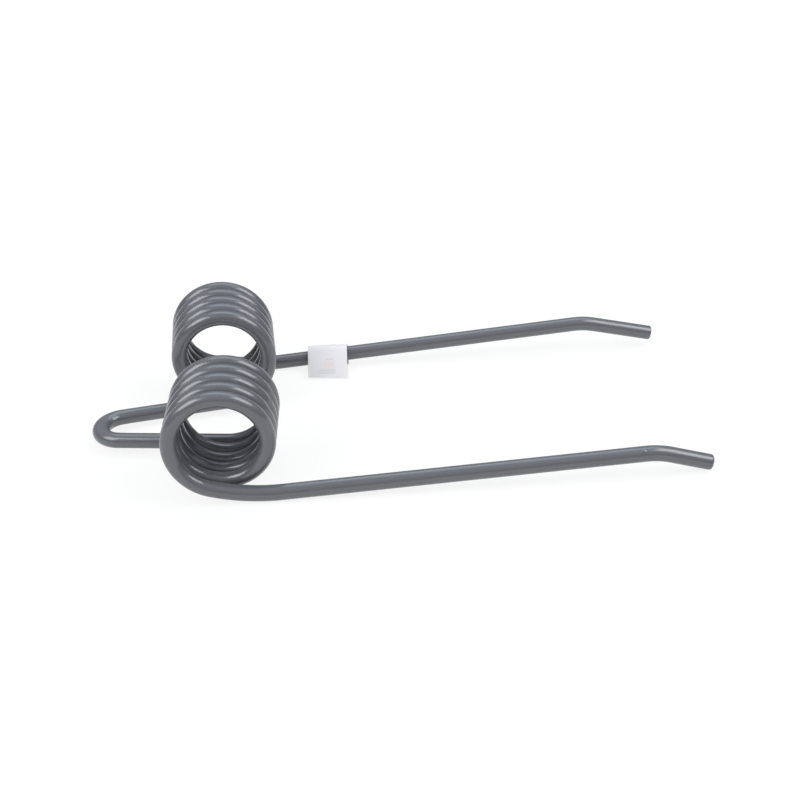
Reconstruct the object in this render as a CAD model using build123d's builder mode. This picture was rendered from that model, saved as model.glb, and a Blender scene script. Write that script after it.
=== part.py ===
"""Double torsion spring: two coils side by side, joined by a U-shaped clamp loop, each with a
long working leg. The whole spring is one round wire. A small paper flag is folded round the
back leg.

The wire is drawn as a coiling machine makes it, from the crown of the clamp loop outwards:
half of the U bend, a straight strand, a slight set into the coil, the coil's turns, a wide
lead-out bend, the straight leg, the tip bend and the tip. The spring lies as it comes to rest:
+X runs along the legs, the coil axes lie along Y, and Z = 0 is the surface under it, which it
meets under both lead-out bends and the front tip. The origin is on that surface, below the
middle of its outline.
"""

import os
from math import asin, atan, atan2, cos, degrees, hypot, pi, radians, sin, tan

from build123d import *

# --- driving dimensions (mm, degrees); pairs are front, back ---------------------------------
FRONT, BACK = 0, 1

wire_diameter = 9.0
end_rounding = 0.7  # the cut ends' rims

coil_mean_diameter = 53.6
coil_turns = 5  # in each coil
turn_gap = 1.5  # daylight between neighbouring turns
coil_toe = 2.7  # outwards, each coil axis leans this far towards the loop

loop_bend_radius = 14.2  # the U bend, to the middle of the wire
loop_flare = 9.25  # each strand of the loop opens by this angle
strand_length = (64.1, 62.0)
strand_set_radius = 36.0  # where a strand bends slightly into its coil

lead_out_angle = 13.6  # the last of the outer turn, which straightens into the leg
lead_out_radius = 135.0
leg_rise = (2.0, 3.65)  # against the plane of the clamp loop
leg_length = (201.0, 187.4)
tip_bend_radius = 45.0
tip_bend_angle = (18.75, 17.15)
tip_length = (23.7, 37.9)

label_width = 25.0
label_paper = 0.25  # thickness of one layer
label_fit = 0.3  # paper clear of the wire where it comes nearest, below it
label_lift = 0.45  # its tail on the surface pushes the paper's loop up this far
label_fold = 5.0  # from the paper's loop to where its layers meet
label_tail = 19.6  # middle of the paper's loop to the free edge
label_skew = 4.5  # the flag sits a little askew on the leg
label_distance = 28.3  # from the start of the straight leg to the middle of the flag
label_clearance = 1.2  # middle of the free edge above the surface

# --- derived sizes ---------------------------------------------------------------------------
wire_radius = wire_diameter / 2
coil_radius = coil_mean_diameter / 2
turn_pitch = wire_diameter + turn_gap
helix_angle = degrees(atan(turn_pitch / (pi * coil_mean_diameter)))
helix_height = turn_pitch * (coil_turns - lead_out_angle / 360)

# A cut end slopes down, so its rounded rim reaches less far below the wire's middle.
front_tip_slope = radians(tip_bend_angle[FRONT] - leg_rise[FRONT])
tip_underside = (
    (wire_radius - end_rounding) * cos(front_tip_slope)
    - end_rounding * sin(front_tip_slope)
    + end_rounding
)


def heading(turn, rise=0.0):
    """Unit vector along +X, turned in plan and then raised, in degrees."""
    flat = cos(radians(rise))
    return Vector(flat * cos(radians(turn)), flat * sin(radians(turn)), sin(radians(rise)))


def bend(start, tangent, new_tangent, radius):
    """Arc of the wire from start, which turns tangent into new_tangent."""
    hinge = Axis((0, 0, 0), tangent.cross(new_tangent))
    centre = start + tangent.rotate(hinge, 90) * radius
    end = centre + (start - centre).rotate(hinge, tangent.get_angle(new_tangent))
    return TangentArc(start, end, tangent=tangent)


def half_wire(side):
    """Edges of one half's centre line by name, on the -Y side, with the clamp loop level."""
    flare = heading(-loop_flare)
    coil_entry = heading(-coil_toe - helix_angle)
    leg_way = heading(0, leg_rise[side])
    tip_way = heading(0, leg_rise[side] - tip_bend_angle[side])
    down = Vector(0, 0, -1)

    with BuildLine():
        crown = JernArc((0, 0, 0), (0, -1, 0), loop_bend_radius, 90 - loop_flare)
        strand = Line(crown @ 1, crown @ 1 + flare * strand_length[side])
        strand_set = bend(strand @ 1, flare, coil_entry, strand_set_radius)

        # The helix starts at the bottom of the coil and winds towards +X and outwards.
        coil_plane = Plane(
            (strand_set @ 1) - down * coil_radius, x_dir=down, z_dir=heading(-90 - coil_toe)
        )
        helix = Helix(turn_pitch, helix_height, coil_radius, mode=Mode.PRIVATE)
        coil = helix.moved(coil_plane.location)
        add(coil)

        lead_out = bend(coil @ 1, coil % 1, leg_way, lead_out_radius)
        leg = Line(lead_out @ 1, lead_out @ 1 + leg_way * leg_length[side])
        tip_bend = bend(leg @ 1, leg_way, tip_way, tip_bend_radius)
        tip = Line(tip_bend @ 1, tip_bend @ 1 + tip_way * tip_length[side])
    return {
        "crown": crown,
        "strand": strand,
        "strand_set": strand_set,
        "coil": coil,
        "lead_out": lead_out,
        "leg": leg,
        "tip_bend": tip_bend,
        "tip": tip,
    }


def resting_place(lead_out, tip):
    """Location that tips the level wire until lead-out bend and front tip both touch Z = 0."""
    low = Vector(lead_out.arc_center.X, 0, lead_out.bounding_box().min.Z - wire_radius)
    end = Vector((tip @ 1).X, 0, (tip @ 1).Z - tip_underside)
    slope = degrees(atan2(low.Z - end.Z, end.X - low.X))
    outline_length = (tip @ 1).X + wire_radius + wire_radius * sin(front_tip_slope)
    middle = outline_length / 2 - wire_radius
    return Location((low.X - middle, 0, 0), (0, -slope, 0)) * Location((-low.X, 0, -low.Z))


front = half_wire(FRONT)
back = {name: edge.mirror(Plane.XZ) for name, edge in half_wire(BACK).items()}
place = resting_place(front["lead_out"], front["tip"])
centre_line = Wire([edge.moved(place) for edge in (*front.values(), *back.values())])

# --- the spring: one round section swept along the whole wire --------------------------------
with BuildPart() as spring:
    with BuildSketch(Plane(centre_line @ 0, z_dir=centre_line % 0)):
        Circle(wire_radius)
    sweep(path=centre_line)
    cut_ends = spring.faces().filter_by(GeomType.PLANE)
    fillet(cut_ends.edges(), end_rounding)

# --- the label: a paper strip folded round the back leg and stuck to itself ------------------
# The paper's loop is wide enough for the wire to cross it askew and below its middle. The tail
# runs off the top of the loop, in front of the leg, and droops until its free edge is near the
# surface.
label_offset = label_width / 2 * tan(radians(label_skew))
label_loop_radius = wire_radius + label_fit + label_lift + label_offset + label_paper
label_meeting = label_loop_radius + label_fold
layers = 2 * label_paper

back_leg = back["leg"].moved(place)
leg_way = back_leg % 0
label_centre = (back_leg @ 0) + leg_way * label_distance + Vector(0, 0, label_lift)
tail_height = label_loop_radius - label_paper
label_droop = degrees(
    atan2(tail_height, label_tail)
    + asin((label_centre.Z - label_clearance) / hypot(tail_height, label_tail))
)
droop_way = Vector(0, -1, 0).rotate(Axis((0, 0, 0), leg_way), label_droop)
skew = Axis((0, 0, 0), leg_way.cross(droop_way))
label_section = Plane(
    label_centre, x_dir=droop_way.rotate(skew, label_skew), z_dir=-leg_way.rotate(skew, label_skew)
)

with BuildPart() as label:
    with BuildSketch(label_section):
        Circle(label_loop_radius)
        with Locations((label_meeting, label_loop_radius - layers)):
            Circle(layers)
        make_hull()
        offset(amount=-label_paper, mode=Mode.SUBTRACT)
        with Locations((label_meeting, label_loop_radius)):
            Rectangle(label_tail - label_meeting, layers, align=(Align.MIN, Align.MAX))
    extrude(amount=label_width / 2, both=True)

# --- output ----------------------------------------------------------------------------------
os.makedirs("parts", exist_ok=True)

spring.part.label = "spring"
export_step(spring.part, "parts/spring.step")

label.part.label = "label"
export_step(label.part, "parts/label.step")

print(f"wire: {centre_line.length:.1f} mm long, section {pi * wire_radius**2:.3f} mm2")
print(f"spring: {spring.part.volume:.0f} mm3")
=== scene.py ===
# %% [markdown]
# # A double torsion spring
# One steel wire makes the whole spring: a U-shaped clamp loop, two coils side by side, and two
# long legs with bent tips. It is powder coated in a semi-gloss grey, and a small paper flag is
# folded round one leg. This lesson draws the wire with one operator, the spin, then wraps the
# flag, mixes the two finishes, and lights the spring with soft boxes on a white floor.

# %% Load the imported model
from math import asin, atan, ceil, cos, pi, radians, sin, tan, tau

import bmesh
import bpy
from mathutils import Matrix, Vector


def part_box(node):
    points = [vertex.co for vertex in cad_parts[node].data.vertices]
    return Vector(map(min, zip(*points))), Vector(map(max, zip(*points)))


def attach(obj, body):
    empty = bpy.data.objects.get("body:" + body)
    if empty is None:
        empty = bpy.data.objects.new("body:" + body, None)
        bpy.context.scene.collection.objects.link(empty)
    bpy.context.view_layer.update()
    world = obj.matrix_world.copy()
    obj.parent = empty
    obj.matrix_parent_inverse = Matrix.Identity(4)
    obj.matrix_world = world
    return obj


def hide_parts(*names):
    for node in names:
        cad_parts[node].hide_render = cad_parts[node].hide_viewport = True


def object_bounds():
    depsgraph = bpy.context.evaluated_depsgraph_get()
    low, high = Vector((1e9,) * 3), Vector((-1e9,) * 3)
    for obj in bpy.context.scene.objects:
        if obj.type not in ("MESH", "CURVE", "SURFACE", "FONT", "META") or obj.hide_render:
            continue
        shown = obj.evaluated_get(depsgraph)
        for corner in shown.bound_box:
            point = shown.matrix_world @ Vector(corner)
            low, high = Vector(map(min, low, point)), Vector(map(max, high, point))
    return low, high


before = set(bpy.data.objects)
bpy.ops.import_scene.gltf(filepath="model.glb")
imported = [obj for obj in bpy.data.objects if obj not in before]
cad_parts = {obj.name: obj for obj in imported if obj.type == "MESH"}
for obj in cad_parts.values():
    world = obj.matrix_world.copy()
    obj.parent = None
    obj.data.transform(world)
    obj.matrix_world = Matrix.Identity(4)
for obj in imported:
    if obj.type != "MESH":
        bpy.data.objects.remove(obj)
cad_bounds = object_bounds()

MM = 0.001
spring_low, spring_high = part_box("spring")
print("nodes", sorted(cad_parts), "spring box", spring_low, spring_high)

# %% [markdown]
# ## The sizes of the wire
# A wire form is a chain of straight runs and bends, so a few sizes describe it: the wire, the
# coil, the clamp loop, and each leg with its tip. The two halves differ by a few millimetres,
# as hand-set bends do. The sizes are those of the solid model, in metres and radians.

# %% Sizes of the wire
FRONT, BACK = 0, 1
OUTWARDS = (-1, 1)  # each half lies to this side of Y = 0

wire_radius = 4.5 * MM
end_rounding = (1.3 * MM, 0.7 * MM)  # the rims of the cut ends, front and back

coil_radius = 26.8 * MM
coil_turns = 5
turn_pitch = 10.5 * MM
coil_toe = radians(2.7)

loop_bend_radius = 14.2 * MM
loop_flare = radians(9.25)
strand_length = (64.1 * MM, 62.0 * MM)
strand_set_radius = 36.0 * MM

lead_out_angle = radians(13.6)
lead_out_radius = 135.0 * MM
leg_rise = (radians(2.0), radians(3.65))
leg_length = (201.0 * MM, 187.4 * MM)
tip_bend_radius = 45.0 * MM
tip_bend_angle = (radians(18.75), radians(17.15))
tip_length = (23.7 * MM, 37.9 * MM)

helix_angle = atan(turn_pitch / (tau * coil_radius))
coil_angle = tau * coil_turns - lead_out_angle
print("helix angle", round(helix_angle, 4), "turns", coil_angle / tau)

# %% [markdown]
# ## A pen that draws by spinning
# A wire could be a curve with a round bevel, but a curve only passes near its control points,
# and a bent wire has exact arcs. Here an open ring of edges is the pen. The spin operator moves
# the ring about an axis and leaves faces behind it, which is what a bending tool does to the
# wire. With an angle of zero and a shift, the same operator draws a straight run. With an angle
# and a shift along the axis, it winds a helix. The pen remembers where its middle is and where
# it is heading, so each bend starts where the last run ended.

# %% The pen
bend_step = 2.1 * MM  # along a bend, from ring to ring
straight_step = 5.0 * MM


def heading(side, turn, rise=0.0):
    """Unit vector along +X, turned outwards on its side and then raised."""
    flat = cos(rise)
    return Vector((flat * cos(turn), OUTWARDS[side] * flat * sin(turn), sin(rise)))


class Pen:
    """The open end of a wire or strip: its edges, its middle and its heading."""

    def __init__(self, mesh, middle, way):
        self.mesh = mesh
        self.edges = list(mesh.edges)
        self.middle = Vector(middle)
        self.way = Vector(way)

    def spin(self, centre, axis, angle, steps, shift):
        """Turns the open end about an axis while it moves by shift in all."""
        drawn = bmesh.ops.spin(
            self.mesh, geom=self.edges, cent=centre, axis=axis, angle=angle,
            dvec=shift / steps, steps=steps, use_merge=False,
        )
        self.edges = [e for e in drawn["geom_last"] if isinstance(e, bmesh.types.BMEdge)]
        turned = Matrix.Rotation(angle, 3, axis)
        self.middle = centre + turned @ (self.middle - centre) + shift
        self.way = turned @ self.way

    def straight(self, length, step=straight_step):
        """Draws a straight run."""
        self.spin(self.middle, self.way, 0.0, ceil(length / step), self.way * length)

    def bend(self, new_way, radius, step=bend_step):
        """Draws an arc that turns the heading into new_way."""
        axis = self.way.cross(new_way).normalized()
        angle = self.way.angle(new_way)
        centre = self.middle + axis.cross(self.way) * radius
        self.spin(centre, axis, angle, ceil(angle * radius / step), Vector())


print("steps in one turn of a coil", ceil(tau * coil_radius / bend_step))

# %% [markdown]
# ## Cut ends
# The wire is sheared to length, and the coat of paint rounds the rim of the cut, more at the
# front tip than at the back one. A face closes each end, the bevel operator rounds its rim, and
# a narrow inset keeps the flat of the cut flat, because smooth shading would otherwise bleed
# from the rim across it. A sphere on each end would be simpler, but it would look like a pill.

# %% Close an end
rim_segments = 6
rim_inset = 0.25 * MM


def close_end(pen, rounding):
    """Closes the wire with a cut face and rounds its rim."""
    bmesh.ops.contextual_create(pen.mesh, geom=pen.edges)
    bmesh.ops.bevel(
        pen.mesh, geom=pen.edges, offset=rounding, offset_type="OFFSET",
        segments=rim_segments, profile=0.5, affect="EDGES", material=-1,
    )
    cut = max(pen.mesh.faces, key=lambda face: len(face.verts))
    bmesh.ops.inset_region(pen.mesh, faces=[cut], thickness=rim_inset)
    print("closed an end at", pen.middle)


# %% [markdown]
# ## One half of the spring
# The coiling machine forms the wire from the middle of the clamp loop outwards, and so does the
# pen: half of the U bend, a strand, a slight set, the turns of the coil, the wide lead-out bend,
# the leg, the tip bend and the tip. Mirroring one half would be quicker, but the halves of a
# real spring aren't equal, so each is drawn with its own sizes. A helix leaves each ring square
# to the wire only if the ring enters it at the helix angle, which the strand's set provides.

# %% Draw one half
wire_sides = 48
bead_run = 6.0 * MM  # stretch of the leg with fine rings, where the paint bead will be
bead_step = 0.6 * MM


def draw_half(side):
    """Draws one half from the loop's crown outwards, with the clamp loop level."""
    mesh = bmesh.new()
    bmesh.ops.create_circle(mesh, cap_ends=False, segments=wire_sides, radius=wire_radius)
    bmesh.ops.rotate(mesh, verts=mesh.verts, matrix=Matrix.Rotation(pi / 2, 3, "X"))
    pen = Pen(mesh, (0, 0, 0), (0, OUTWARDS[side], 0))
    pen.bend(heading(side, loop_flare), loop_bend_radius, bend_step / 2)
    pen.straight(strand_length[side])
    pen.bend(heading(side, coil_toe + helix_angle), strand_set_radius, bend_step / 2)

    coil_axis = heading(side, pi / 2 + coil_toe)
    coil_middle = pen.middle + Vector((0, 0, coil_radius))
    climb = coil_axis * (turn_pitch * coil_angle / tau)
    steps = ceil(coil_angle * coil_radius / bend_step)
    pen.spin(coil_middle, coil_axis, -OUTWARDS[side] * coil_angle, steps, climb)

    leg_way = heading(side, 0, leg_rise[side])
    pen.bend(leg_way, lead_out_radius)
    leg_start = pen.middle.copy()
    pen.straight(leg_length[side] - bead_run)
    pen.straight(bead_run, bead_step)
    leg_end = pen.middle.copy()
    pen.bend(heading(side, 0, leg_rise[side] - tip_bend_angle[side]), tip_bend_radius)
    pen.straight(tip_length[side])
    close_end(pen, end_rounding[side])
    return {"mesh": mesh, "leg_start": leg_start, "leg_end": leg_end, "leg_way": leg_way}


front = draw_half(FRONT)
back = draw_half(BACK)
print("rings of faces", [len(half["mesh"].faces) // wire_sides for half in (front, back)])

# %% [markdown]
# ## A bead in the paint
# Powder that clumps before it melts leaves a small bead. This spring has one on the front leg,
# just before the tip bend. It could be a bump in the material, but then it would vanish from
# the mesh. Here the skin near it is cut finer, and its points are pushed out into a low cap.

# %% Raise a bead
bead_from_leg_end = 2.0 * MM
bead_turn = radians(39.7)  # round the wire, from its top towards the front
bead_height = 0.34 * MM
bead_reach = 1.5 * MM
bead_patch = 2  # the skin is cut finer out to this many reaches
bead_cuts = 3


def raise_bead(mesh, leg_end, leg_way):
    """Swells the paint at one spot on the leg."""
    axis_spot = leg_end - leg_way * bead_from_leg_end
    outwards = Matrix.Rotation(bead_turn, 3, leg_way) @ Vector((0, 0, 1))
    spot = axis_spot + outwards * wire_radius

    def away(vertex):
        return (vertex.co - spot).length / bead_reach

    near = [edge for edge in mesh.edges if all(away(v) < bead_patch for v in edge.verts)]
    bmesh.ops.subdivide_edges(mesh, edges=near, cuts=bead_cuts, use_grid_fill=True)
    for vertex in mesh.verts:
        if away(vertex) < bead_patch:
            from_axis = vertex.co - axis_spot
            radial = from_axis - leg_way * from_axis.dot(leg_way)
            swollen = wire_radius + bead_height * max(0, 1 - away(vertex) ** 2)
            vertex.co += radial.normalized() * (swollen - radial.length)
    print("bead: cut", len(near), "edges finer")


raise_bead(front["mesh"], front["leg_end"], front["leg_way"])

# %% [markdown]
# ## The inside of the U bend
# The U bend is pressed round a narrow mandrel, and the squeezed steel bulges inwards there. A
# separate lump would show a seam, so the skin itself is moved: each point goes towards the
# bend's middle, most on the inside and at the crown, and less and less away from both.

# %% Swell the inside of the U bend
bulge = 1.6 * MM
bulge_thickening = 0.15  # of the wire's height, where it bulges most
bulge_angle = radians(55)  # from the crown to half of the bulge
bulge_falloff = 1.5  # higher keeps the bulge nearer to the innermost line


def swell_inside(mesh):
    """Pushes the inner side of the U bend towards the bend's middle."""
    bend_middle = Vector((loop_bend_radius, 0, 0))
    for vertex in mesh.verts:
        inwards = bend_middle - vertex.co
        if inwards.x > 0:
            inwards.z = 0
            inner = max(0, loop_bend_radius - inwards.length) / wire_radius
            from_crown = Vector((1, 0, 0)).angle(inwards) / bulge_angle
            share = inner**bulge_falloff * 2 ** -(from_crown**2)
            vertex.co += inwards.normalized() * bulge * share
            vertex.co.z *= 1 + bulge_thickening * share


same_place = 0.001 * MM  # points nearer than this are one

for half in (front, back):
    swell_inside(half["mesh"])
    crown_ring = [v.co for v in half["mesh"].verts if abs(v.co.y) < same_place]
    print("inside of the bend at its crown", max(co.x for co in crown_ring))

# %% [markdown]
# ## The whole wire
# Both halves start with the same ring at the crown of the loop, so merging their doubles there
# makes one closed skin. Two meshes that only touch would look the same, but the wire would then
# have an inner wall and a visible seam.

# %% Join the halves
mesh = bmesh.new()
for half in (front, back):
    half_data = bpy.data.meshes.new("half_wire")
    half["mesh"].to_mesh(half_data)
    mesh.from_mesh(half_data)
    bpy.data.meshes.remove(half_data)
    half["mesh"].free()
bmesh.ops.remove_doubles(mesh, verts=mesh.verts, dist=same_place)
print("open edges", sum(edge.is_boundary for edge in mesh.edges))

# %% [markdown]
# ## The spring at rest
# A spring that is put on a bench tips until its coils and a tip touch, and the mesh is laid
# down the same way. The angle could be worked out from the sizes, but the lowest points move as
# the wire tips, so they are brought level a few times over instead. The frame's box then says
# where along X the spring lies.

# %% Lay it down
tilt_rounds = 4
tip_clear = 0.15 * MM  # its rounder rim keeps the front tip this far off the floor


def lay_down(mesh):
    """Tips the wire about Y until its coils and a tip lie on the floor."""
    middle = (front["leg_start"].x + front["leg_end"].x) / 2
    tilt_in_all = 0.0
    for _ in range(tilt_rounds):
        rear = min((v.co for v in mesh.verts if v.co.x < middle), key=lambda place: place.z)
        tip = min((v.co for v in mesh.verts if v.co.x > middle), key=lambda place: place.z)
        tilt = asin((tip.z - tip_clear - rear.z) / (tip - rear).length)
        bmesh.ops.rotate(mesh, verts=mesh.verts, matrix=Matrix.Rotation(tilt, 3, "Y"))
        tilt_in_all += tilt
    low_x = min(v.co.x for v in mesh.verts)
    low_z = min(v.co.z for v in mesh.verts)
    shift = Vector((spring_low[0] - low_x, 0, spring_low[2] - low_z))
    bmesh.ops.translate(mesh, verts=mesh.verts, vec=shift)
    return Matrix.Translation(shift) @ Matrix.Rotation(tilt_in_all, 4, "Y")


lying = lay_down(mesh)
bmesh.ops.recalc_face_normals(mesh, faces=mesh.faces)
print("tilt", lying.to_euler().y)


# %% Finish the wire
def finish_piece(mesh, name):
    """Turns a bmesh into a smooth-shaded object at the origin."""
    data = bpy.data.meshes.new(name)
    mesh.to_mesh(data)
    mesh.free()
    data.shade_smooth()
    piece = bpy.data.objects.new(name, data)
    bpy.context.scene.collection.objects.link(piece)
    return piece


wire = finish_piece(mesh, "spring_wire")
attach(wire, "root")
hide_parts("spring")
print("wire faces", len(wire.data.polygons))

# %% [markdown]
# ## The paper flag
# A strip of label paper goes over the back leg, round it and back, and its two ends are stuck
# together in front, where the flag droops to the bench. Paper bends in one direction only, so a
# subdivided plane that is pushed about would stretch where paper can't. The pen of the wire
# draws it instead, from one straight edge as wide as the paper: up the upper layer, round the
# loop, and back down the lower layer. Solidify then gives it its thickness.

# %% Sizes of the flag
label_width = 25.0 * MM
paper = 0.2 * MM
layer_gap = 0.24 * MM  # middle of one layer to the middle of the other
label_fit = 0.3 * MM
label_lift = 0.45 * MM
label_fold = 5.0 * MM
label_tail = 19.6 * MM
label_skew = radians(4.5)
fold_radius = 1.5 * MM

label_offset = label_width / 2 * tan(label_skew)
loop_radius = wire_radius + label_fit + label_lift + label_offset + paper
label_meeting = loop_radius + label_fold
print("paper loop radius", loop_radius)

# %% Draw the strip, with X down the tail, Y off the paper and Z across it
strip_columns = 12
fine_step = 0.8 * MM

# The lower layer leaves the loop on a line that touches it, and meets the upper layer.
meeting = Vector((label_meeting, loop_radius - layer_gap))
steepness = atan(meeting.y / meeting.x) + asin(loop_radius / meeting.length)
into_fold = fold_radius * tan(steepness / 2)
loop_run = (meeting.length_squared - loop_radius**2) ** 0.5 - into_fold
loop_angle = pi + steepness
loop_steps = ceil(loop_angle * loop_radius / fine_step)
lower_run = label_tail - label_meeting - into_fold

strip = bmesh.new()
bmesh.ops.create_grid(strip, x_segments=strip_columns, y_segments=1, size=0.5)  # 1 wide
bmesh.ops.delete(strip, geom=[v for v in strip.verts if v.co.y > 0], context="VERTS")
for vertex in strip.verts:
    vertex.co = Vector((label_tail, loop_radius, vertex.co.x * label_width))

pen = Pen(strip, (label_tail, loop_radius, 0), (-1, 0, 0))
pen.straight(label_tail, fine_step)
pen.spin(Vector(), Vector((0, 0, 1)), loop_angle, loop_steps, Vector())
pen.straight(loop_run, fine_step)
pen.bend(Vector((1, 0, 0)), fold_radius, fine_step / 4)
pen.straight(lower_run, fine_step)
flat_length = label_tail + loop_angle * loop_radius + loop_run + steepness * fold_radius + lower_run
print("strip ends at", pen.middle, "flat length", flat_length)

# %% [markdown]
# ## Folded by hand
# Drawn like this, the flag is too perfect. By hand, the ends meet a little askew: the lower
# layer peeps out at one side and stops short, the free edge isn't parallel to the fold, and one
# corner droops. Small shifts along the tail do this, each growing smoothly towards the free
# edge, so that the loop round the wire stays as drawn.

# %% Set the strip askew
edge_skew = 0.9 * MM  # the free edge is this much longer at one side
corner_droop = 0.4 * MM
layer_slip = 0.5 * MM
layer_short = 0.35 * MM

for vertex in strip.verts:
    along = max(vertex.co.x / label_tail, 0)
    sideways = -vertex.co.z / (label_width / 2)
    lower = vertex.co.y < loop_radius - layer_gap / 2
    vertex.co.x += along * along * edge_skew * sideways
    vertex.co.y -= along**3 * corner_droop * sideways
    if lower:
        vertex.co.z -= along * layer_slip
        vertex.co.x -= along**3 * layer_short
print("strip is now", max(v.co.x for v in strip.verts) - min(v.co.x for v in strip.verts), "long")

# %% Put it on the leg
label_distance = 28.3 * MM
label_clearance = 1.2 * MM
back_way = (lying.to_3x3() @ back["leg_way"]).normalized()
label_middle = lying @ back["leg_start"] + back_way * label_distance + Vector((0, 0, label_lift))
tail_end = Vector((label_tail, loop_radius))
droop = atan(tail_end.y / tail_end.x) + asin((label_middle.z - label_clearance) / tail_end.length)
tail_way = Matrix.Rotation(droop, 3, back_way) @ Vector((0, -1, 0))
askew = Matrix.Rotation(label_skew, 3, back_way.cross(tail_way))
tail_way, across = askew @ tail_way, askew @ back_way
upright = tail_way.cross(across)
on_leg = Matrix((tail_way, upright, -across)).transposed().to_4x4()
on_leg.translation = label_middle
bmesh.ops.transform(strip, matrix=on_leg, verts=strip.verts)
bmesh.ops.recalc_face_normals(strip, faces=strip.faces)
for edge in strip.edges:
    edge.smooth = not edge.is_boundary
print("flag lowest point", min(v.co.z for v in strip.verts), "droop", droop)

# %% Give the paper its thickness
flag = finish_piece(strip, "paper_flag")
thickness = flag.modifiers.new("thickness", "SOLIDIFY")
thickness.thickness = paper
thickness.offset = 0
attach(flag, "root")
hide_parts("label")
print("flag faces", len(flag.data.polygons))

# %% [markdown]
# ## Grain for two finishes
# Both finishes need the same two things: slow changes of tone over a few centimetres, and a
# fine unevenness that breaks up the highlights. On paint that is orange peel, and on paper it is
# fibre. Rather than building the noise twice, one node group puts out both, and each material
# sets its own scales. Object coordinates keep the grain fixed to the piece at a real size.

# %% The grain group
def new_group(name, inputs, outputs):
    """An empty shader node group with its sockets, and its input and output nodes."""
    group = bpy.data.node_groups.new(name, "ShaderNodeTree")
    for socket, value in inputs.items():
        kind = "NodeSocketVector" if value is None else "NodeSocketFloat"
        made = group.interface.new_socket(socket, in_out="INPUT", socket_type=kind)
        if value is not None:
            made.default_value = value
    for socket in outputs:
        group.interface.new_socket(socket, in_out="OUTPUT", socket_type="NodeSocketFloat")
    return group, group.nodes.new("NodeGroupInput"), group.nodes.new("NodeGroupOutput")


def noise_node(group, scale_from, vector_from, detail):
    """A noise texture fed by a scale socket and a place."""
    noise = group.nodes.new("ShaderNodeTexNoise")
    noise.inputs["Detail"].default_value = detail
    group.links.new(vector_from, noise.inputs["Vector"])
    group.links.new(scale_from, noise.inputs["Scale"])
    return noise.outputs["Fac"]


grain_inputs = {"Place": None, "Mottle Scale": 40.0, "Grain Scale": 900.0}  # None is a vector
mottle_detail, grain_detail = 3.0, 2.0

grain, grain_in, grain_out = new_group("surface_grain", grain_inputs, ["Mottle", "Grain"])
for output, detail in (("Mottle", mottle_detail), ("Grain", grain_detail)):
    scale_from = grain_in.outputs[output + " Scale"]
    value = noise_node(grain, scale_from, grain_in.outputs["Place"], detail)
    grain.links.new(value, grain_out.inputs[output])
print("grain group nodes", len(grain.nodes))

# %% [markdown]
# ## The powder coat
# Powder coat is a thick, slightly soft-looking paint. It has no flakes and no clear layer, so
# one glossy layer over a grey base is enough. What makes it look like powder coat is the orange
# peel: waves about a millimetre and a half long that are only microns high. They go into the
# normal through a bump, because as geometry they would need millions of faces. The roughness
# wanders a little too, as it does where the coat is thicker.

# %% A new material and its grain
def new_material(name):
    """A node material with its Principled shader and Object coordinates."""
    material = bpy.data.materials.new(name)
    material.use_nodes = True
    tree = material.node_tree
    place = tree.nodes.new("ShaderNodeTexCoord").outputs["Object"]
    return material, tree, tree.nodes["Principled BSDF"], place


def add_grain(tree, place, slow, fine):
    """The grain group with a material's own scales."""
    node = tree.nodes.new("ShaderNodeGroup")
    node.node_tree = grain
    node.inputs["Mottle Scale"].default_value = slow
    node.inputs["Grain Scale"].default_value = fine
    tree.links.new(place, node.inputs["Place"])
    return node.outputs["Mottle"], node.outputs["Grain"]


# %% Mixing colours, ranges and bumps
noise_low, noise_high = 0.3, 0.7  # a noise seldom leaves this range


def mix_colours(tree, factor, first, second):
    """A colour between two others. Each may be a colour or a socket."""
    mix = tree.nodes.new("ShaderNodeMix")
    mix.data_type = "RGBA"
    tree.links.new(factor, mix.inputs["Factor"])
    for socket, colour in (("A", first), ("B", second)):
        target = next(s for s in mix.inputs if s.name == socket and s.type == "RGBA")
        if isinstance(colour, tuple):
            target.default_value = (*colour, 1.0)
        else:
            tree.links.new(colour, target)
    return next(s for s in mix.outputs if s.type == "RGBA")


def set_range(tree, value, low, high, start=noise_low, stop=noise_high):
    """Maps a value between start and stop to one between low and high."""
    node = tree.nodes.new("ShaderNodeMapRange")
    node.inputs["From Min"].default_value = start
    node.inputs["From Max"].default_value = stop
    node.inputs["To Min"].default_value = low
    node.inputs["To Max"].default_value = high
    tree.links.new(value, node.inputs["Value"])
    return node.outputs["Result"]


def add_bump(tree, shader, height, distance):
    """Bends the shading by a height that varies by this distance."""
    bump = tree.nodes.new("ShaderNodeBump")
    bump.inputs["Distance"].default_value = distance
    tree.links.new(height, bump.inputs["Height"])
    tree.links.new(bump.outputs["Normal"], shader.inputs["Normal"])


print("a noise is read between", noise_low, "and", noise_high)

# %% The grey coat
coat_grey = (0.110, 0.115, 0.131)
coat_grey_light = (0.123, 0.128, 0.146)
coat_roughness = (0.17, 0.23)
coat_specular = 0.85
mottle_scale = 60.0
peel_scale = 700.0
peel_depth = 0.006 * MM

coat, tree, shader, place = new_material("grey_powder_coat")
mottle, peel = add_grain(tree, place, mottle_scale, peel_scale)
tree.links.new(mix_colours(tree, mottle, coat_grey, coat_grey_light), shader.inputs["Base Color"])
tree.links.new(set_range(tree, mottle, *coat_roughness), shader.inputs["Roughness"])
shader.inputs["Specular IOR Level"].default_value = coat_specular
add_bump(tree, shader, peel, peel_depth)
wire.data.materials.append(coat)
print("coat nodes", len(tree.nodes))

# %% [markdown]
# ## The label paper
# Label paper is smooth, white and matt, with a slightly cool tint from its brightener. Its
# place for print holds only a pale field and some rules, as on a form. They could be faces with
# a second material, but the mesh would then have to follow the print. A Mapping node that
# undoes the flag's own placing gives coordinates down and across the tail instead, and a small
# group turns those into soft-edged rectangles, on the upper layer alone.

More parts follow.
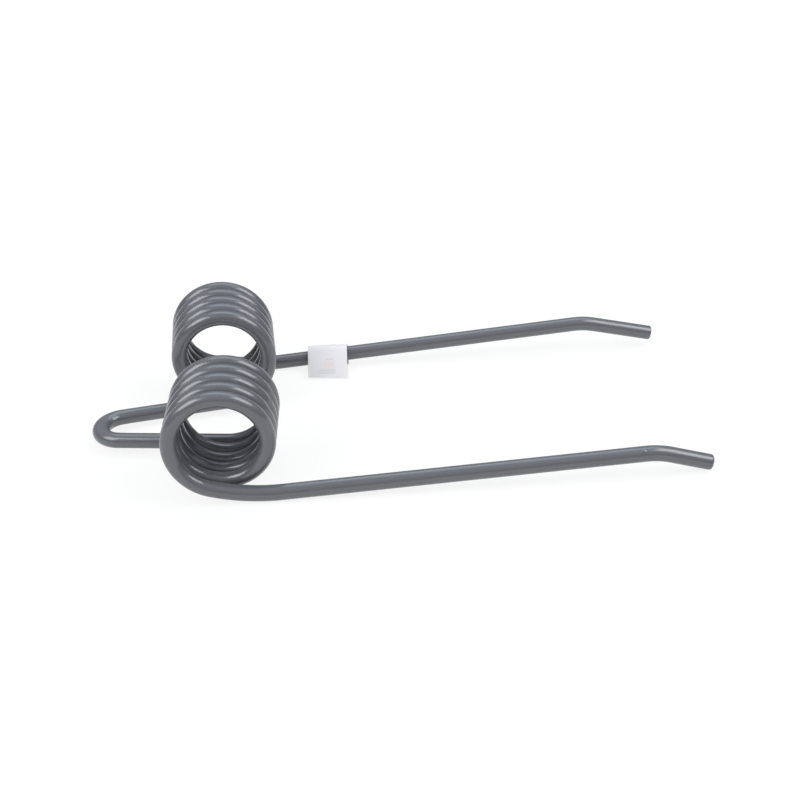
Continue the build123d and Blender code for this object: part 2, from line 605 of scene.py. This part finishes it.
# %% The printed field group
ink_blur = 0.25 * MM  # half as wide as the soft edge of the print


def math_node(group, operation, first, second=None):
    """One sum of the printed field."""
    node = group.nodes.new("ShaderNodeMath")
    node.operation = operation
    for socket, value in zip(node.inputs, (first, second)):
        if isinstance(value, (int, float)):
            socket.default_value = value
        elif value is not None:
            group.links.new(value, socket)
    return node.outputs["Value"]


field_sizes = {"Down": 0.0, "Across": 0.0, "Half Height": MM, "Half Width": MM}
field, field_in, field_out = new_group("printed_field", {"Place": None, **field_sizes}, ["Ink"])
split = field.nodes.new("ShaderNodeSeparateXYZ")
field.links.new(field_in.outputs["Place"], split.inputs["Vector"])
outside = []
for axis, middle, half in (("X", "Down", "Half Height"), ("Z", "Across", "Half Width")):
    offset = math_node(field, "SUBTRACT", split.outputs[axis], field_in.outputs[middle])
    distance = math_node(field, "ABSOLUTE", offset)
    outside.append(math_node(field, "SUBTRACT", distance, field_in.outputs[half]))
beyond = math_node(field, "MAXIMUM", *outside)
soft_edge = set_range(field, beyond, 1.0, 0.0, -ink_blur, ink_blur)
upper_layer = math_node(field, "GREATER_THAN", split.outputs["Y"], loop_radius - layer_gap / 2)
field.links.new(math_node(field, "MULTIPLY", soft_edge, upper_layer), field_out.inputs["Ink"])
print("printed field nodes", len(field.nodes))

# %% The paper
paper_white = (0.85, 0.825, 0.835)
paper_shade = (0.82, 0.795, 0.805)
ink_grey = (0.68, 0.68, 0.69)
ink_pink = (0.86, 0.76, 0.76)
paper_roughness = 0.55
paper_mottle_scale = 150.0
fibre_scale = 4000.0
fibre_depth = 0.01 * MM

white, tree, shader, place = new_material("label_paper")
shader.inputs["Roughness"].default_value = paper_roughness
mottle, fibre = add_grain(tree, place, paper_mottle_scale, fibre_scale)
colour = mix_colours(tree, mottle, paper_white, paper_shade)

on_paper = tree.nodes.new("ShaderNodeMapping")
on_paper.vector_type = "TEXTURE"
on_paper.inputs["Location"].default_value = on_leg.translation
on_paper.inputs["Rotation"].default_value = on_leg.to_euler()
tree.links.new(place, on_paper.inputs["Vector"])

# Each row: down the tail, across it, half height, half width, ink.
printed = (
    (6.6 * MM, -1.5 * MM, 0.35 * MM, 2.6 * MM, ink_grey),
    (10.2 * MM, -1.0 * MM, 1.9 * MM, 2.9 * MM, ink_pink),
    (14.4 * MM, 0.2 * MM, 0.35 * MM, 5.2 * MM, ink_grey),
    (16.2 * MM, 0.2 * MM, 0.35 * MM, 5.2 * MM, ink_grey),
)
for *sizes, ink in printed:
    mask = tree.nodes.new("ShaderNodeGroup")
    mask.node_tree = field
    tree.links.new(on_paper.outputs["Vector"], mask.inputs["Place"])
    for socket, size in zip(field_sizes, sizes):
        mask.inputs[socket].default_value = size
    colour = mix_colours(tree, mask.outputs["Ink"], colour, ink)
tree.links.new(colour, shader.inputs["Base Color"])
add_bump(tree, shader, fibre, fibre_depth)
flag.data.materials.append(white)
print("paper nodes", len(tree.nodes))

# %% [markdown]
# ## The white floor
# The spring lies on a white floor without an end. The floor could be lit until it burns out to
# white, but then the paint would burn out as well. Light Path tells the floor which rays see it
# instead. To the camera and to reflections most of its white glows by itself and the rest is
# lit, so the soft shadow stays, and further out it fades to plain white. The light that it
# sends up to the spring is that of a real floor of white paper.

# %% The floor
floor_reach = 3.0  # metres, each way

floor_mesh = bmesh.new()
bmesh.ops.create_grid(floor_mesh, x_segments=1, y_segments=1, size=floor_reach)
bmesh.ops.translate(floor_mesh, verts=floor_mesh.verts, vec=(0, 0, cad_bounds[0][2]))
floor = finish_piece(floor_mesh, "floor")
print("floor at", cad_bounds[0][2], "metres")


# %% The floor's white
def ray_kind(tree, *kinds):
    """1 for a ray of one of these kinds, otherwise 0."""
    path = tree.nodes.new("ShaderNodeLightPath")
    kind = path.outputs[kinds[0]]
    for other in kinds[1:]:
        kind = math_node(tree, "MAXIMUM", kind, path.outputs[other])
    return kind


floor_glow = (0.86, 0.86, 0.86)  # white that doesn't depend on the light
floor_shade = (0.14, 0.14, 0.14)  # what the light and the shadow still change
fade_start, fade_end = 0.45, 1.1  # metres from the middle: the shadow ends, all is white
floor_white = (0.93, 0.90, 0.83)  # what lights the spring from below
floor_roughness = 0.9
black, full_white = (0.0, 0.0, 0.0), (1.0, 1.0, 1.0)

pale, tree, shader, place = new_material("pale_floor")
shader.inputs["Roughness"].default_value = floor_roughness
shader.inputs["Specular IOR Level"].default_value = 0.0
seen = ray_kind(tree, "Is Camera Ray", "Is Glossy Ray", "Is Transmission Ray")
tree.links.new(mix_colours(tree, seen, floor_white, floor_shade), shader.inputs["Base Color"])
from_middle = tree.nodes.new("ShaderNodeVectorMath")
from_middle.operation = "LENGTH"
tree.links.new(place, from_middle.inputs["Vector"])
fade = set_range(tree, from_middle.outputs["Value"], 0.0, 1.0, fade_start, fade_end)
glow = mix_colours(tree, fade, floor_glow, full_white)
tree.links.new(mix_colours(tree, seen, black, glow), shader.inputs["Emission Color"])
shader.inputs["Emission Strength"].default_value = 1.0
floor.data.materials.append(pale)
print("floor nodes", len(tree.nodes))

# %% [markdown]
# ## The room
# A glossy wire is drawn by what it reflects. In an even white room it would look flat, so the
# room is bright overhead and dim at the horizon, which gives each turn its darker flanks. The
# camera still sees white behind the floor. A picture of a studio could do the same, but a ramp
# on the height of each ray needs no image.

# %% The world
fill_level = 0.75  # share of the room's light that matt surfaces get
horizon_level, ceiling_level = 0.24, 0.72
horizon_height, ceiling_height = 0.1, 1.0  # the upward part of a ray's direction

world = bpy.data.worlds.new("studio")
world.use_nodes = True
bpy.context.scene.world = world
tree = world.node_tree
background = tree.nodes["Background"]
background.inputs["Color"].default_value = (1, 1, 1, 1)
direction = tree.nodes.new("ShaderNodeTexCoord").outputs["Generated"]
split = tree.nodes.new("ShaderNodeSeparateXYZ")
tree.links.new(direction, split.inputs["Vector"])
room = set_range(
    tree, split.outputs["Z"], horizon_level, ceiling_level, horizon_height, ceiling_height
)
shown = ray_kind(tree, "Is Camera Ray", "Is Transmission Ray")
seen = ray_kind(tree, "Is Camera Ray", "Is Glossy Ray", "Is Transmission Ray")
level = set_range(tree, seen, fill_level, 1.0, 0.0, 1.0)
strength = math_node(tree, "MULTIPLY", level, math_node(tree, "MAXIMUM", room, shown))
tree.links.new(strength, background.inputs["Strength"])
print("world nodes", len(tree.nodes))

# %% [markdown]
# ## The lamps
# Two soft boxes, one at each side, put the pair of highlights on every turn, and a wide cold
# one overhead lights the tops. A soft box is an area lamp, and its size sets how broad the
# highlights are. Its energy is given through the brightness of its face, so that a box can be
# made larger without the highlight changing its tone.

# %% The lamps
coils_middle = Vector((-60 * MM, 0, 30 * MM))


def soft_box(name, way, distance, width, height, brightness, colour):
    """A soft box in a direction from the coils, turned to face them."""
    lamp = bpy.data.lights.new(name, "AREA")
    lamp.shape = "RECTANGLE"
    lamp.size, lamp.size_y = width, height
    lamp.color = colour
    lamp.energy = brightness * pi * width * height  # watts, for a face of this brightness
    box = bpy.data.objects.new(name, lamp)
    way = Vector(way).normalized()
    box.location = coils_middle + way * distance
    box.rotation_euler = way.to_track_quat("Z", "Y").to_euler()
    bpy.context.scene.collection.objects.link(box)


cool = (0.94, 0.97, 1.0)
cold = (0.74, 0.85, 1.0)

# Each row: name, way, distance, width, height, brightness, colour.
soft_boxes = (
    ("left_soft_box", (-0.65, -0.34, 0.65), 1.6, 1.0, 0.9, 4.6, cool),
    ("right_soft_box", (0.65, -0.15, 0.74), 1.6, 1.0, 0.85, 4.5, cool),
    ("overhead_soft_box", (0.08, 0.42, 0.90), 1.8, 1.6, 1.0, 1.7, cold),
)
for row in soft_boxes:
    soft_box(*row)
print("lamps", [(row[0], round(bpy.data.lights[row[0]].energy, 2)) for row in soft_boxes])

# %% [markdown]
# ## The camera
# The spring is seen from a little above and slightly to one side, with a moderately long lens.
# The camera could be aimed at a target, but its three angles are clearer: pan, tilt and roll,
# each turned about the axis that the one before it left.

# %% Set up the camera
camera_place = Vector((-34.05, -745.92, 424.01)) * MM
camera_pan, camera_tilt, camera_roll = 0.05466, 0.50221, -0.04155  # radians
focal_length, sensor_width = 64.477, 36.0  # lenses are given in millimetres

lens = bpy.data.cameras.new("camera")
lens.lens = focal_length
lens.sensor_width = sensor_width
camera = bpy.data.objects.new("camera", lens)
camera.matrix_world = (
    Matrix.Translation(camera_place)
    @ Matrix.Rotation(-camera_pan, 4, "Z")
    @ Matrix.Rotation(pi / 2 - camera_tilt, 4, "X")
    @ Matrix.Rotation(camera_roll, 4, "Z")
)
bpy.context.scene.collection.objects.link(camera)
bpy.context.scene.camera = camera
bpy.context.scene.view_settings.view_transform = "Standard"
print("field of view", camera.data.angle)
